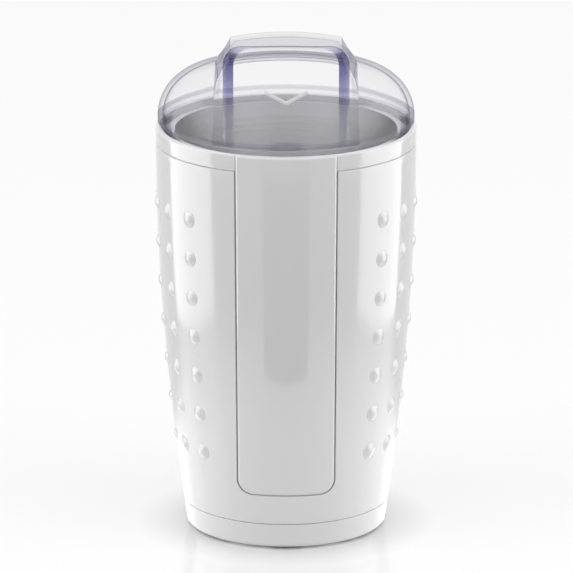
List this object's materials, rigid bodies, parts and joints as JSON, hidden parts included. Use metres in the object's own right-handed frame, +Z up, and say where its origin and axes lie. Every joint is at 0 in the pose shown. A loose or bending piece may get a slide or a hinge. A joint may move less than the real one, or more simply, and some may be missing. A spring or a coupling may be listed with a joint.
{
  "type": "electric spice grinder",
  "caption": "Hand-sized electric spice grinder: tapered white housing with grip bumps and a front panel, clear domed press-to-run lid, steel bowl and motor-driven blade.",
  "frame": {"origin": "on the housing's axis, on the surface that the feet stand on", "axes": "+Z up along the motor shaft; the front panel faces -Y; +X to the right seen from the front"},
  "size_m": [0.0954, 0.0948, 0.19],
  "materials": {
    "white_gloss": "gloss white moulded ABS",
    "panel_white": "gloss white moulded ABS, polished",
    "clear_lid": "clear moulded SAN with a faint violet tint at its edges",
    "bowl_steel": "spun stainless steel",
    "blade_steel": "ground stainless steel",
    "zinc_steel": "zinc plated",
    "shaft_steel": "ground steel",
    "black_rubber": "moulded rubber",
    "grey_rubber": "moulded silicone",
    "bronze": "sintered bronze",
    "lamination": "stacked steel laminations, varnished",
    "copper_wire": "enamelled copper wire",
    "copper_bar": "turned copper",
    "carbon": "pressed carbon",
    "brown_moulding": "phenolic moulding",
    "inner_plastic": "natural moulded plastic",
    "fan_plastic": "natural nylon",
    "switch_black": "moulded switch case",
    "switch_red": "moulded plunger"
  },
  "bodies": {
    "base": {"body_shell": "white_gloss", "collar_ring": "white_gloss", "front_panel": "panel_white", "base_cover": "white_gloss", "rubber_feet": "black_rubber", "base_screws": "zinc_steel", "grinding_bowl": "bowl_steel", "bowl_gasket": "grey_rubber", "shaft_seal": "black_rubber", "upper_bearing": "bronze", "lower_bearing": "bronze", "upper_bracket": "zinc_steel", "lower_bracket": "zinc_steel", "stator_core": "lamination", "field_coils": "copper_wire", "stator_bolts": "zinc_steel", "brush_holders": "brown_moulding", "carbon_brushes": "carbon", "brush_springs": "shaft_steel", "bowl_carrier": "inner_plastic", "carrier_screws": "zinc_steel", "motor_dampers": "black_rubber", "motor_screws": "zinc_steel", "return_spring": "shaft_steel", "micro_switch": "switch_black", "switch_screws": "zinc_steel", "cord_gland": "black_rubber"},
    "push_rod": {"push_rod": "inner_plastic"},
    "lid": {"lid_shell": "clear_lid"},
    "rotor": {"motor_shaft": "shaft_steel", "blade": "blade_steel", "blade_washer": "zinc_steel", "blade_nut": "zinc_steel", "armature_core": "lamination", "armature_winding": "copper_wire", "commutator": "copper_bar", "cooling_fan": "fan_plastic"},
    "switch_plunger": {"switch_plunger": "switch_red"}
  },
  "joints": [
    {"name": "lid_press", "type": "slide", "parent": "base", "child": "push_rod", "axis": [0, 0, 1], "range_m": [-0.0015, 0], "stiffness_N_per_m": 600, "springref_m": 0.004, "deforming": ["return_spring"]},
    {"name": "lid_lift", "type": "slide", "parent": "push_rod", "child": "lid", "axis": [0, 0, 1], "range_m": [0, 0.06]},
    {"name": "rotor_spin", "type": "hinge", "parent": "base", "child": "rotor", "pos_m": [0, 0, 0.06], "axis": [0, 0, 1], "continuous": true},
    {"name": "switch_travel", "type": "slide", "parent": "base", "child": "switch_plunger", "axis": [0, 0, 1], "range_m": [-0.0015, 0]}
  ],
  "couplings": [
    {"joint": "switch_travel", "follows": "lid_press", "ratio": 1}
  ]
}
